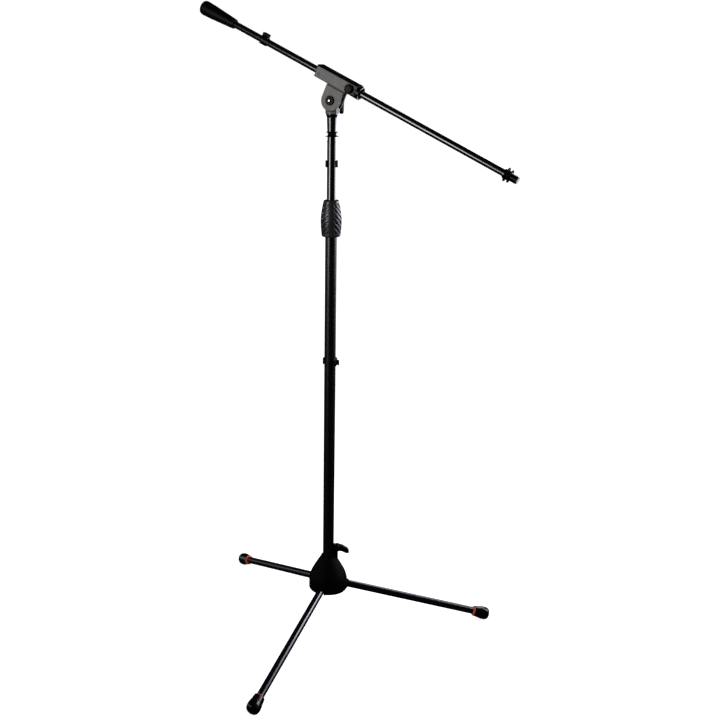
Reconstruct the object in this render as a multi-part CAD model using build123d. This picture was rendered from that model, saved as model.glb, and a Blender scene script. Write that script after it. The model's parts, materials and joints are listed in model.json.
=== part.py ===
"""Tripod microphone stand with a tilting, telescoping boom, in millimetres.

The origin is on the floor under the mast. Z is up, X is the horizontal direction of the
boom's microphone end, and the boom tilts about Y. Each sub-part is its own STEP file.
"""

import os
from math import cos, radians, sin, tan

from build123d import *

# Running clearance left on a radius where one piece turns or slides in another
FIT = 0.05

# Mast
LOWER_TUBE_R = 12.5
LOWER_TUBE_WALL = 1.2
LOWER_TUBE_BOTTOM = 97.5
LOWER_TUBE_TOP = 985.0
UPPER_TUBE_R = 9.9
UPPER_TUBE_WALL = 1.2
UPPER_TUBE_BOTTOM = 402.0
UPPER_TUBE_TOP = 1113.0
GUIDE_BUSH_LENGTH = 30.0

# Twist clutch at the top of the lower tube
CLUTCH_BOTTOM = 918.0
CLUTCH_WIDEST = 952.0
CLUTCH_TOP = 995.0
CLUTCH_BOTTOM_R = 20.0
CLUTCH_WIDEST_R = 22.3
CLUTCH_TOP_R = 15.6
CLUTCH_THREAD_R = 15.0
CLUTCH_NUT_R = 17.6
CLUTCH_NUT_TOP_R = 13.6

# The 5/8 inch microphone thread, at the mast's top and at the boom's tip
THREAD_R = 7.94
SPOOL_NECK_R = 9.3
SPOOL_WIDE_R = 14.4
SPOOL_NARROW_R = 13.2
SPOOL_FLANGE = 2.4
SPOOL_RIM = 1.2
SPOOL_LENGTH = 10.5

# Swivel base and the tilt pivot
SPOOL_BOTTOM = 1123.6
STUD_TOP = 1152.0
SOCKET_BOTTOM = 1134.3
SOCKET_TOP = 1169.7
SOCKET_BOTTOM_R = 9.9
SOCKET_R = 10.9
BASE_R = 13.0
BASE_TOP = 1174.2
PIVOT_Z = 1195.9
TONGUE_HALF = 5.5
TONGUE_R = 18.5
WASHER = 0.9
EAR_INNER = 6.5
EAR_OUTER = 9.5
EAR_R = 21.0
BOLT_R = 4.0

# Boom, along its own axis: positive stations are towards the microphone end
BOOM_TILT = 24.68
BOOM_CROSS_Z = 1239.57
BOOM_R = 7.0
BOOM_WALL = 1.4
BOOM_BACK = -346.0
BOOM_FRONT = 411.0
SLEEVE_WALL = 1.1
BRACKET_BACK = -36.0
BRACKET_FRONT = 45.0
BRACKET_HALF = 13.0
BRACKET_WALL = 2.6
BRACKET_TOP = 10.5
BRACKET_BOTTOM = -11.5
BRACKET_CHAMFER = 2.2
EAR_GROOVE = 2.6
EAR_GROOVE_DEPTH = 1.6
DIMPLE_STATION = -26.0
LINER_FRONT = 73.0
LINER_FACE = 66.0
LINER_CROWN = 13.6
LOCK_STATION = 50.6
LOCK_BOSS_R = 10.6
NOSE_R = 13.4
END_RING_R = 12.5
END_RING_WALL = 0.8
WEIGHT_BACK = -354.0
WEIGHT_FRONT = -262.0
WEIGHT_BACK_R = 15.5
WEIGHT_FRONT_R = 10.0
TIP_END = 442.0
TIP_BORE_R = 4.4
TIP_SPOOL = 415.4

# T-handle behind the tilt pivot
HANDLE_Y = 43.0
HANDLE_LENGTH = 57.0
HANDLE_THICK = 8.0
HANDLE_DEPTH = 9.6
HANDLE_LEAN = 6.0
HANDLE_HUB_R = 7.6

# Leg housing, a bell that clamps on the lower tube
BELL_TOP = 182.0
BELL_RIM = 99.5
BELL_R = 43.9
BELL_SHOULDER = 118.0
BELL_WALL = 3.0
BELL_SLEEVE_R = 16.5
BELL_SLEEVE_BOTTOM = 130.0

# Legs
LEG_AZIMUTHS = {"right": 36.7, "left": 156.7, "front": 276.7}
LEG_CROSS_Z = 119.3
LEG_SLOPE = 15.89
LEG_PIN_RADIUS = 27.0
LEG_R = 8.3
LEG_WALL = 1.4
LEG_TUBE_START = 9.0
LEG_TUBE_END = 362.0
KNUCKLE_HALF = 4.5
KNUCKLE_EYE_R = 6.2
LEG_PIN_R = 2.5
FOOT_START = 331.0
FOOT_END = 371.0
FOOT_MOUTH_R = 11.8
FOOT_END_R = 14.9
RING_LENGTH = 3.4

# Clamp lever of the leg housing
LEVER_AZIMUTH = 32.0
LEVER_Z = 199.5
LEVER_HUB_R = 10.0
LEVER_HUB_START = 16.2
LEVER_HUB_END = 25.0
LEVER_HALF = 6.0

# Cable clips, each named by its lowest height or station on its tube
CLIP_HEIGHT = 14.0
CLIP_WALL = 3.6
CLIP_HOOK_R = 4.0
CLIP_HOOK_WALL = 2.0
BOOM_CLIP_HEIGHT = 17.0
BOOM_CLIP_WALL = 2.4
BOOM_CLIP_HOOK_R = 3.0
LOWER_CLIP_Z = 638.0
UPPER_CLIP_Z = 1062.0
BOOM_CLIP_STATION = -190.0

LEG_PIN_Z = LEG_CROSS_Z - LEG_PIN_RADIUS * tan(radians(LEG_SLOPE))
PIVOT_STATION = (BOOM_CROSS_Z - PIVOT_Z) * sin(radians(BOOM_TILT))
PIVOT_DROP = (BOOM_CROSS_Z - PIVOT_Z) * cos(radians(BOOM_TILT))

# Frames: the boom's has X along the boom, the boom axis frame has Z along it
BOOM = Pos(0, 0, BOOM_CROSS_Z) * Rot(0, BOOM_TILT, 0)
BOOM_AXIS = BOOM * Rot(0, 90, 0)
BASE = (Align.CENTER, Align.CENTER, Align.MIN)


def rod(radius, low, high):
    """A solid cylinder on Z between two heights."""
    return Pos(0, 0, low) * Cylinder(radius, high - low, align=BASE)


def pipe(outer, inner, low, high):
    """A round tube on Z between two heights."""
    return rod(outer, low, high) - rod(inner, low - 1, high + 1)


def turned(points):
    """A solid turned on Z from an outline of (radius, height) points."""
    outline = Plane.XZ * Polyline(*points, close=True)
    return revolve(make_face(outline), Axis.Z)


def block(x, y, z):
    """A box between the given pairs of limits."""
    size = [high - low for low, high in (x, y, z)]
    centre = [(high + low) / 2 for low, high in (x, y, z)]
    return Pos(*centre) * Box(*size)


def across(radius, x, z, y_low, y_high):
    """A solid cylinder along Y at a place in the XZ plane."""
    length = y_high - y_low
    return Pos(x, (y_low + y_high) / 2, z) * Rot(90, 0, 0) * Cylinder(radius, length)


def leg_frame(azimuth):
    """The frame of a leg: origin at its pin, Z out along the leg, X down, Y along the pin."""
    return Rot(0, 0, azimuth) * Pos(LEG_PIN_RADIUS, 0, LEG_PIN_Z) * Rot(0, 90 + LEG_SLOPE, 0)


def lower_tube():
    inner = LOWER_TUBE_R - LOWER_TUBE_WALL
    return pipe(LOWER_TUBE_R, inner, LOWER_TUBE_BOTTOM, LOWER_TUBE_TOP)


def leg_stop_plate():
    """Plug in the lower tube's bottom whose disc stops the leg roots from dropping."""
    plug = rod(LOWER_TUBE_R - LOWER_TUBE_WALL, LOWER_TUBE_BOTTOM, LOWER_TUBE_BOTTOM + 22)
    disc = rod(34.0, LOWER_TUBE_BOTTOM - 0.2, LOWER_TUBE_BOTTOM + 3.0)
    slot_for_tube = pipe(LOWER_TUBE_R, LOWER_TUBE_R - LOWER_TUBE_WALL, LOWER_TUBE_BOTTOM, 130)
    return disc + plug - slot_for_tube


def clutch_body():
    """Threaded sleeve pressed over the lower tube's top, with a lip over its end."""
    mouth = UPPER_TUBE_R + 0.6
    return turned([
        (LOWER_TUBE_R, LOWER_TUBE_TOP - 58),
        (CLUTCH_THREAD_R, LOWER_TUBE_TOP - 58),
        (CLUTCH_THREAD_R, LOWER_TUBE_TOP - 20),
        (LOWER_TUBE_R + 0.8, LOWER_TUBE_TOP - 18),
        (LOWER_TUBE_R + 0.8, LOWER_TUBE_TOP + 1.5),
        (mouth, LOWER_TUBE_TOP + 1.5),
        (mouth, LOWER_TUBE_TOP),
        (LOWER_TUBE_R, LOWER_TUBE_TOP),
    ])


def clutch_collet():
    """Split wedge ring that the clutch squeezes on the upper tube."""
    low = LOWER_TUBE_TOP + 1.6
    bore = UPPER_TUBE_R + FIT
    ring = turned([(bore, low), (12.4, low), (11.2, CLUTCH_TOP - 1), (bore, CLUTCH_TOP - 1)])
    return ring - block((0, 20), (-0.6, 0.6), (low - 1, CLUTCH_TOP))


def clutch_nut():
    """Hard core of the twist clutch; its top cone bears on the collet."""
    low = CLUTCH_BOTTOM + 2
    return turned([
        (CLUTCH_THREAD_R + FIT, low),
        (CLUTCH_NUT_R, low),
        (CLUTCH_NUT_R, CLUTCH_WIDEST),
        (CLUTCH_NUT_TOP_R + 0.8, CLUTCH_TOP - 2),
        (11.4, CLUTCH_TOP - 2),
        (12.8, CLUTCH_TOP - 8),
        (LOWER_TUBE_R + 0.8 + FIT, CLUTCH_TOP - 8),
        (LOWER_TUBE_R + 0.8 + FIT, LOWER_TUBE_TOP - 16),
        (CLUTCH_THREAD_R + FIT, LOWER_TUBE_TOP - 17),
    ])


def clutch_grip():
    """Soft outer sleeve of the twist clutch, moulded on its core."""
    low = CLUTCH_BOTTOM
    return turned([
        (CLUTCH_THREAD_R + 0.6, low),
        (CLUTCH_BOTTOM_R - 1.5, low),
        (CLUTCH_BOTTOM_R, low + 2.5),
        (CLUTCH_WIDEST_R, CLUTCH_WIDEST - 4),
        (CLUTCH_WIDEST_R, CLUTCH_WIDEST + 4),
        (CLUTCH_TOP_R + 0.6, CLUTCH_TOP - 2),
        (CLUTCH_TOP_R - 0.4, CLUTCH_TOP),
        (11.8, CLUTCH_TOP),
        (11.8, CLUTCH_TOP - 2),
        (CLUTCH_NUT_TOP_R + 0.8, CLUTCH_TOP - 2),
        (CLUTCH_NUT_R, CLUTCH_WIDEST),
        (CLUTCH_NUT_R, low + 2),
        (CLUTCH_THREAD_R + 0.6, low + 2),
    ])


def upper_tube():
    return pipe(UPPER_TUBE_R, UPPER_TUBE_R - UPPER_TUBE_WALL, UPPER_TUBE_BOTTOM, UPPER_TUBE_TOP)


def mast_guide_bush():
    """Nylon bush that guides the upper tube's lower end inside the lower tube."""
    outer = LOWER_TUBE_R - LOWER_TUBE_WALL - FIT
    low = UPPER_TUBE_BOTTOM + 0.3
    return pipe(outer, UPPER_TUBE_R + FIT, low, low + GUIDE_BUSH_LENGTH)


def upper_tube_end_plug():
    """Plug whose flange keeps the guide bush on the upper tube."""
    plug = rod(UPPER_TUBE_R - UPPER_TUBE_WALL, UPPER_TUBE_BOTTOM - 1, UPPER_TUBE_BOTTOM + 18)
    return plug + rod(10.9, UPPER_TUBE_BOTTOM - 4, UPPER_TUBE_BOTTOM)


def top_stud():
    """Threaded stud pressed in the upper tube's top."""
    plug = rod(UPPER_TUBE_R - UPPER_TUBE_WALL, UPPER_TUBE_TOP - 30, UPPER_TUBE_TOP)
    step = rod(UPPER_TUBE_R + 0.5, UPPER_TUBE_TOP, UPPER_TUBE_TOP + 2.2)
    shoulder = rod(UPPER_TUBE_R - 0.3, UPPER_TUBE_TOP + 2, SPOOL_BOTTOM - 0.2)
    return plug + step + shoulder + rod(THREAD_R, UPPER_TUBE_TOP, STUD_TOP)


def spool(low):
    """Lock ring with two thin finger flanges, the lower one wider."""
    high = low + SPOOL_LENGTH
    slope = (SPOOL_FLANGE - SPOOL_RIM) / 2
    return turned([
        (THREAD_R + FIT, low),
        (SPOOL_NECK_R, low),
        (SPOOL_WIDE_R, low + slope),
        (SPOOL_WIDE_R, low + slope + SPOOL_RIM),
        (SPOOL_NECK_R, low + SPOOL_FLANGE),
        (SPOOL_NECK_R, high - SPOOL_FLANGE),
        (SPOOL_NARROW_R, high - slope - SPOOL_RIM),
        (SPOOL_NARROW_R, high - slope),
        (SPOOL_NECK_R, high),
        (THREAD_R + FIT, high),
    ])


def stud_lock_ring():
    return spool(SPOOL_BOTTOM)


def swivel_socket():
    """Black threaded ferrule under the swivel base, flared at its top."""
    return turned([
        (THREAD_R, SOCKET_BOTTOM),
        (SOCKET_BOTTOM_R, SOCKET_BOTTOM),
        (SOCKET_R, SOCKET_TOP - 7.5),
        (BASE_R - 0.3, SOCKET_TOP - 1.5),
        (BASE_R - 0.3, SOCKET_TOP),
        (THREAD_R, SOCKET_TOP),
    ])


def swivel_base():
    """Cast base whose tongue stands between the boom bracket's ears."""
    body = rod(BASE_R, SOCKET_TOP, BASE_TOP)
    tongue = across(TONGUE_R, 0, PIVOT_Z, -TONGUE_HALF, TONGUE_HALF)
    web = block((-BASE_R, BASE_R), (-TONGUE_HALF, TONGUE_HALF), (SOCKET_TOP, PIVOT_Z))
    spigot = rod(THREAD_R, STUD_TOP + 0.2, SOCKET_TOP)
    bolt_hole = across(BOLT_R + FIT, 0, PIVOT_Z, -20, 20)
    return body + tongue + web + spigot - bolt_hole


def ear_outline():
    """The bracket's ears in the boom frame, as one block with a groove under the channel."""
    eye = across(EAR_R, PIVOT_STATION, -PIVOT_DROP, -EAR_OUTER, EAR_OUTER)
    flank = block(
        (PIVOT_STATION - EAR_R, PIVOT_STATION + EAR_R),
        (-EAR_OUTER, EAR_OUTER),
        (-PIVOT_DROP, BRACKET_BOTTOM + 1),
    )
    grooves = block((-60, 80), (-20, 20), (BRACKET_BOTTOM - EAR_GROOVE, BRACKET_BOTTOM))
    inner = EAR_OUTER - EAR_GROOVE_DEPTH
    grooves -= block((-60, 80), (-inner, inner), (-40, 0))
    return eye + flank - grooves


def liner_section():
    """Room for the liner in the bracket's channel."""
    half = BRACKET_HALF - BRACKET_WALL
    return block((BRACKET_BACK - 5, LINER_FRONT + 20), (-half, half), (-9.0, 40))


def boom_bracket():
    """Cast channel that holds the boom's liner, with two ears down to the tilt pivot."""
    channel = block(
        (BRACKET_BACK, BRACKET_FRONT),
        (-BRACKET_HALF, BRACKET_HALF),
        (BRACKET_BOTTOM, BRACKET_TOP),
    )
    lower_edges = channel.edges().filter_by(Axis.X).sort_by(Axis.Z)[:2]
    channel = chamfer(lower_edges, BRACKET_CHAMFER)
    back_edges = channel.edges().filter_by(Axis.Z).group_by(Axis.X)[0]
    channel = chamfer(back_edges, BRACKET_CHAMFER)
    channel -= across(2.4, DIMPLE_STATION, -2.5, -20, 0.6 - BRACKET_HALF)
    channel -= liner_section()
    channel -= across(LOCK_BOSS_R + 0.3, LOCK_STATION, 0, -20, 20)
    gap = block((-40, 80), (-EAR_INNER, EAR_INNER), (-PIVOT_DROP - EAR_R - 1, BRACKET_BOTTOM))
    ears = ear_outline() - gap
    bolt_hole = across(BOLT_R, PIVOT_STATION, -PIVOT_DROP, -20, 20)
    return BOOM * (channel + ears - bolt_hole - liner_section())


def boom_liner():
    """Nylon liner that fills the channel, with a crowned top and a round-mouthed nose."""
    half = BRACKET_HALF - BRACKET_WALL
    core = block((BRACKET_BACK + 1, LINER_FACE), (-half, half), (-9.0, BRACKET_TOP + 0.5))
    crown = block(
        (BRACKET_BACK, LINER_FACE), (-BRACKET_HALF, BRACKET_HALF), (BRACKET_TOP, LINER_CROWN)
    )
    crown = fillet(crown.edges().filter_by(Axis.X).group_by(Axis.Z)[-1], 2.6)
    nose = block((BRACKET_FRONT + 0.3, LINER_FACE), (-12.6, 12.6), (-11.4, BRACKET_TOP + 0.5))
    nose = fillet(nose.edges().filter_by(Axis.X).group_by(Axis.Z)[0], 5.0)
    boss = across(LOCK_BOSS_R, LOCK_STATION, 0, -BRACKET_HALF, BRACKET_HALF)
    along = Rot(0, 90, 0)
    mouth = along * rod(NOSE_R, LINER_FACE - 4, LINER_FRONT)
    bore = BOOM_R + FIT + SLEEVE_WALL + FIT
    channel = along * rod(bore, BRACKET_BACK + 3, LINER_FRONT + 1)
    back_hole = along * rod(BOOM_R + 0.5, BRACKET_BACK - 1, 0)
    recess = along * rod(END_RING_R, LINER_FACE, LINER_FRONT + 1)
    screw_hole = across(3.0 + FIT, LOCK_STATION, 0, -20, 0)
    return BOOM * (core + crown + nose + boss + mouth - channel - back_hole - recess - screw_hole)


def boom_end_ring():
    """Bright steel ring pressed in the nose's mouth."""
    inner = END_RING_R - END_RING_WALL
    return BOOM_AXIS * pipe(END_RING_R, inner, LINER_FACE + 1.4, LINER_FRONT + 0.2)


def sleeve_retainer():
    """Nylon washer behind the end ring that keeps the sleeve in the liner."""
    return BOOM_AXIS * pipe(END_RING_R, BOOM_R + 0.5, LINER_FACE, LINER_FACE + 1.4)


def boom_sleeve():
    """Friction sleeve in which the boom slides, and which turns in the liner."""
    inner = BOOM_R + FIT
    ring = pipe(inner + SLEEVE_WALL, inner, BRACKET_BACK + 3.2, LINER_FACE - 0.2)
    return BOOM_AXIS * ring


def boom_lock_screw():
    """Set screw of the boom lock; its end stops just short of the sleeve."""
    tip = BOOM_R + 2 * FIT + SLEEVE_WALL + 0.4
    return BOOM * across(3.0, LOCK_STATION, 0, -17.0, -tip)


def boom_lock_knob():
    """Small round knob on the boom lock screw."""
    body = across(8.6, LOCK_STATION, 0, -18.4, -BRACKET_HALF - 0.3)
    body = chamfer(body.edges().group_by(Axis.Y)[0], 1.0)
    return BOOM * (body - across(3.0, LOCK_STATION, 0, -17.0, 0))


def friction_washers():
    """Fibre washers between the tongue and the ears."""
    washers = []
    for side in (-1, 1):
        near = side * (TONGUE_HALF + 0.05)
        far = side * (TONGUE_HALF + 0.05 + WASHER)
        disc = across(13.0, 0, PIVOT_Z, min(near, far), max(near, far))
        washers.append(disc - across(BOLT_R + FIT, 0, PIVOT_Z, -20, 20))
    return Compound(children=[solid for washer in washers for solid in washer.solids()])


def pivot_bolt():
    """Bolt through both ears; its bright end shows in the cap and the handle runs on it."""
    bolt = across(BOLT_R, 0, PIVOT_Z, -EAR_OUTER - 5.2, HANDLE_Y - 6)
    return fillet(bolt.edges().group_by(Axis.Y)[0], 2.8)


def pivot_cap():
    """Black flanged nut on the near ear."""
    ring = across(9.3, 0, PIVOT_Z, -EAR_OUTER - 3.2, -EAR_OUTER)
    ring = chamfer(ring.edges().group_by(Axis.Y)[0], 0.8)
    return ring - across(BOLT_R, 0, PIVOT_Z, -30, 0)


def handle_insert():
    """Threaded steel insert in the T-handle."""
    outer = across(6.0, 0, PIVOT_Z, EAR_OUTER + 0.3, HANDLE_Y - 10)
    return outer - across(BOLT_R + FIT, 0, PIVOT_Z, 0, 60)


def tilt_handle():
    """T-handle that clamps the tilt pivot: a hub along the bolt and a wing across it."""
    hub = across(HANDLE_HUB_R, 0, PIVOT_Z, EAR_OUTER + 1.2, HANDLE_Y)
    wing = Box(HANDLE_THICK, HANDLE_DEPTH, HANDLE_LENGTH)
    wing = fillet(wing.edges().filter_by(Axis.X), 4.0)
    wing = fillet(wing.edges().filter_by(Axis.Z), 2.4)
    wing = Pos(0, HANDLE_Y, PIVOT_Z) * Rot(0, HANDLE_LEAN, 0) * wing
    bolt_room = across(BOLT_R + FIT, 0, PIVOT_Z, 0, HANDLE_Y - 5.5)
    return hub + wing - across(6.0, 0, PIVOT_Z, 0, HANDLE_Y - 10) - bolt_room


def boom_tube():
    return BOOM_AXIS * pipe(BOOM_R, BOOM_R - BOOM_WALL, BOOM_BACK, BOOM_FRONT)


def counterweight_core():
    """Iron slug round the boom's back end."""
    slug = pipe(11.5, BOOM_R, BOOM_BACK + 2, WEIGHT_FRONT - 28)
    return BOOM_AXIS * slug


def counterweight_cover():
    """Rubber cone over the slug, with a domed back."""
    outline = [
        (0, WEIGHT_BACK),
        (WEIGHT_BACK_R - 5, WEIGHT_BACK),
        (WEIGHT_BACK_R - 1.4, WEIGHT_BACK + 2),
        (WEIGHT_BACK_R, WEIGHT_BACK + 7),
        (WEIGHT_BACK_R - 0.6, WEIGHT_BACK + 28),
        (WEIGHT_FRONT_R + 0.4, WEIGHT_FRONT - 3),
        (WEIGHT_FRONT_R - 0.8, WEIGHT_FRONT),
        (0, WEIGHT_FRONT),
    ]
    cone = turned(outline)
    cone -= rod(BOOM_R, BOOM_BACK, WEIGHT_FRONT + 1)
    return BOOM_AXIS * (cone - rod(11.5, BOOM_BACK + 2, WEIGHT_FRONT - 28))


def boom_tip_stud():
    """Threaded microphone stud pressed in the boom's front end."""
    plug = rod(BOOM_R - BOOM_WALL, BOOM_FRONT - 25, BOOM_FRONT)
    shoulder = rod(9.2, BOOM_FRONT, TIP_SPOOL - 0.2)
    thread = rod(THREAD_R, BOOM_FRONT, TIP_END)
    thread = chamfer(thread.edges().group_by(Axis.Z)[-1], 1.0)
    relief_start = TIP_SPOOL + SPOOL_LENGTH + 0.1
    relief = pipe(THREAD_R + 1, THREAD_R - 0.35, relief_start, relief_start + 0.7)
    bore = rod(TIP_BORE_R, BOOM_FRONT - 26, TIP_END + 1)
    return BOOM_AXIS * (plug + shoulder + thread - relief - bore)


def tip_lock_ring():
    return BOOM_AXIS * spool(TIP_SPOOL)


def cable_clip(tube_radius, wall, height, hook_radius, opening, hook_azimuth):
    """C-shaped snap clip from height 0, open at one azimuth, with a cable hook at another."""
    inner = tube_radius + FIT
    outer = inner + wall
    gap = Rot(0, 0, opening) * block((0, 60), (-inner * 0.78, inner * 0.78), (-1, height + 1))
    grip = pipe(outer, inner, 0, height) - gap
    place = Rot(0, 0, hook_azimuth) * Pos(outer + hook_radius + 0.1, 0, 0)
    hook = pipe(hook_radius + CLIP_HOOK_WALL, hook_radius, 0, height)
    hook -= block((0, 20), (-hook_radius * 0.65, hook_radius * 0.65), (-1, height + 1))
    return grip + (place * hook - rod(outer - 0.5, -1, height + 1))


def lower_cable_clip():
    clip = cable_clip(LOWER_TUBE_R, CLIP_WALL, CLIP_HEIGHT, CLIP_HOOK_R, 274, 345)
    return Pos(0, 0, LOWER_CLIP_Z) * clip


def upper_cable_clip():
    clip = cable_clip(UPPER_TUBE_R, CLIP_WALL, CLIP_HEIGHT, CLIP_HOOK_R, 300, 100)
    return Pos(0, 0, UPPER_CLIP_Z) * clip


def boom_cable_clip():
    """The boom's clip is open towards the cap's side and has its hook on top."""
    clip = cable_clip(BOOM_R, BOOM_CLIP_WALL, BOOM_CLIP_HEIGHT, BOOM_CLIP_HOOK_R, 275, 175)
    return BOOM_AXIS * Pos(0, 0, BOOM_CLIP_STATION) * clip


def bell_curve(offset):
    """Outline of the bell from its rim to its top, moved in by a wall thickness."""
    radius = BELL_R - offset
    shoulder = (radius, BELL_SHOULDER)
    crest = (LOWER_TUBE_R + 1.6, BELL_TOP - offset * 1.3)
    belly = (33.6 - offset * 0.9, 151.0 - offset * 0.6)
    rim = (radius, BELL_RIM + 3)
    return rim, shoulder, belly, crest


def bell_solid(offset, bottom):
    """Solid inside a bell outline, closed on the axis."""
    rim, shoulder, belly, crest = bell_curve(offset)
    wall = Line((rim[0], bottom), shoulder)
    dome = Spline(shoulder, belly, crest, tangents=[(0, 1), (-0.62, 0.78)])
    top = Line(crest, (0, crest[1]))
    axis = Line((0, crest[1]), (0, bottom))
    floor = Line((0, bottom), (rim[0], bottom))
    outline = Plane.XZ * (wall + dome + top + axis + floor)
    return revolve(make_face(outline), Axis.Z)


def leg_slot(radius, start, end, bottom):
    """A round-topped slot round a leg, open downwards, in the leg's own frame."""
    return rod(radius, start, end) + block((0, bottom), (-radius, radius), (start, end))


def leg_housing():
    """Bell that slides on the lower tube, with a bearing sleeve, leg lugs and clamp boss."""
    outer = bell_solid(0, BELL_RIM)
    outer = fillet(outer.edges().group_by(Axis.Z)[0], 3.0)
    shell = outer - bell_solid(BELL_WALL, BELL_RIM - 1)
    sleeve = rod(BELL_SLEEVE_R, BELL_SLEEVE_BOTTOM, BELL_TOP - 1)
    above_rim = block((-80, 80), (-80, 80), (BELL_RIM, 200))
    inside = bell_solid(1.0, BELL_RIM)
    body = shell + sleeve
    for azimuth in LEG_AZIMUTHS.values():
        frame = leg_frame(azimuth)
        hood = frame * leg_slot(LEG_R + 2.0, 10, 19.4, 40)
        body += (hood & above_rim) - bell_solid(BELL_WALL, BELL_RIM - 1)
    for azimuth in LEG_AZIMUTHS.values():
        frame = leg_frame(azimuth)
        body -= frame * leg_slot(LEG_R + 0.5, KNUCKLE_EYE_R + 1.6, 60, 60)
    for azimuth in LEG_AZIMUTHS.values():
        body += leg_lugs(azimuth) & inside
    body += clamp_boss()
    body -= rod(LOWER_TUBE_R + FIT, 0, 400)
    screw_hole = Rot(0, 0, LEVER_AZIMUTH) * Pos(0, 0, LEVER_Z) * Rot(0, 90, 0) * rod(4.0 + FIT, 5, 60)
    return body - screw_hole


def leg_lugs(azimuth):
    """The pair of lugs that holds a leg's pin, hung from the bearing sleeve."""
    lugs = None
    for side in (-1, 1):
        low = KNUCKLE_HALF + 0.15 if side > 0 else -KNUCKLE_HALF - 3.65
        high = low + 3.5
        eye = across(6.4, LEG_PIN_RADIUS, LEG_PIN_Z, low, high)
        arm = block((14.0, LEG_PIN_RADIUS + 6.0), (low, high), (LEG_PIN_Z, BELL_SLEEVE_BOTTOM + 18))
        lug = eye + arm
        lugs = lug if lugs is None else lugs + lug
    hole = across(LEG_PIN_R, LEG_PIN_RADIUS, LEG_PIN_Z, -40, 40)
    return Rot(0, 0, azimuth) * (lugs - hole)


def clamp_boss():
    """Boss on top of the bell that carries the clamp screw, with a rib under the lever."""
    boss = Rot(0, 90, 0) * rod(9.5, 10.0, 15.8)
    post = block((10.0, 15.8), (-9.0, 9.0), (-32.0, 0.0))
    rib = block((15.0, 22.0), (-4.5, 4.5), (-34.0, -LEVER_HUB_R - 1.0))
    return Rot(0, 0, LEVER_AZIMUTH) * Pos(0, 0, LEVER_Z) * (boss + post + rib)


def lever_frame():
    """The clamp screw's frame: Z out along the screw, X down."""
    return Rot(0, 0, LEVER_AZIMUTH) * Pos(0, 0, LEVER_Z) * Rot(0, 90, 0)


def brake_pad():
    """Nylon pad at the end of the clamp screw."""
    return lever_frame() * (rod(4.0, 11.0, 14.5)) - rod(LOWER_TUBE_R + FIT, 0, 400)


def base_lever_screw():
    screw = rod(4.0, 14.6, LEVER_HUB_START) + rod(3.0, LEVER_HUB_START, LEVER_HUB_END - 3)
    return lever_frame() * screw


def base_lever():
    """Hooked clamp lever: a round hub and a wing that bends out and down."""
    hub = rod(LEVER_HUB_R, LEVER_HUB_START, LEVER_HUB_END)
    hub = fillet(hub.edges().group_by(Axis.Z)[-1], 2.0)
    top = Spline((-9.5, 17.0), (-7.5, 29.7), (-3.0, 37.0), (1.2, 44.0), (7.0, 46.6))
    tip = ThreePointArc((7.0, 46.6), (12.6, 46.4), (14.2, 42.4))
    under = Spline((14.2, 42.4), (12.4, 36.0), (8.8, 29.7), (8.3, 20.0))
    root = Polyline((8.3, 20.0), (8.3, 17.0), (-9.5, 17.0))
    outline = Plane.XZ * (top + tip + under + root)
    wing = extrude(make_face(outline), LEVER_HALF, both=True)
    wing = fillet(wing.edges().filter_by(GeomType.LINE, reverse=True), 1.5)
    return lever_frame() * (hub + wing - rod(3.0, 0, LEVER_HUB_END - 3))


def leg_pins():
    """The three pins that the legs fold on, as separate solids."""
    half = KNUCKLE_HALF + 3.6
    solids = []
    for azimuth in LEG_AZIMUTHS.values():
        pin = across(LEG_PIN_R, LEG_PIN_RADIUS, LEG_PIN_Z, -half, half)
        solids.append(Rot(0, 0, azimuth) * pin)
    return Compound(children=[solid for pin in solids for solid in pin.solids()])


def leg_knuckle(azimuth):
    """Cast end of a leg: an eye on the pin, a neck and a plug in the leg tube."""
    eye = across(KNUCKLE_EYE_R, 0, 0, -KNUCKLE_HALF, KNUCKLE_HALF)
    neck = block((-5.5, 5.5), (-KNUCKLE_HALF, KNUCKLE_HALF), (0, LEG_TUBE_START))
    collar = rod(LEG_R - 0.4, LEG_TUBE_START - 1.5, LEG_TUBE_START)
    plug = rod(LEG_R - LEG_WALL, LEG_TUBE_START - 1, LEG_TUBE_START + 32)
    hole = across(LEG_PIN_R + FIT, 0, 0, -20, 20)
    return leg_frame(azimuth) * (eye + neck + collar + plug - hole)


def leg_tube(azimuth):
    return leg_frame(azimuth) * pipe(LEG_R, LEG_R - LEG_WALL, LEG_TUBE_START, LEG_TUBE_END)


def leg_foot(azimuth):
    """Rubber boot on a leg's end, with a small flat where it rests on the floor."""
    body_start = FOOT_START + RING_LENGTH
    boot = turned([
        (LEG_R, body_start),
        (FOOT_MOUTH_R, body_start),
        (FOOT_MOUTH_R + 0.5, body_start + 3),
        (FOOT_END_R - 0.4, FOOT_END - 20),
        (FOOT_END_R, FOOT_END - 12),
        (FOOT_END_R - 0.8, FOOT_END - 5),
        (FOOT_END_R - 3.2, FOOT_END - 1.4),
        (FOOT_END_R - 6.5, FOOT_END),
        (0, FOOT_END),
        (0, LEG_TUBE_END),
        (LEG_R, LEG_TUBE_END),
    ])
    above_floor = block((-500, 500), (-500, 500), (0, 200))
    return (leg_frame(azimuth) * boot) & above_floor


def leg_ring(azimuth):
    """Coloured trim cone at the mouth of a boot."""
    cone = turned([
        (LEG_R, FOOT_START),
        (LEG_R + 0.8, FOOT_START),
        (FOOT_MOUTH_R + 0.1, FOOT_START + RING_LENGTH - 0.6),
        (FOOT_MOUTH_R + 0.1, FOOT_START + RING_LENGTH),
        (LEG_R, FOOT_START + RING_LENGTH),
    ])
    return leg_frame(azimuth) * cone


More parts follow.
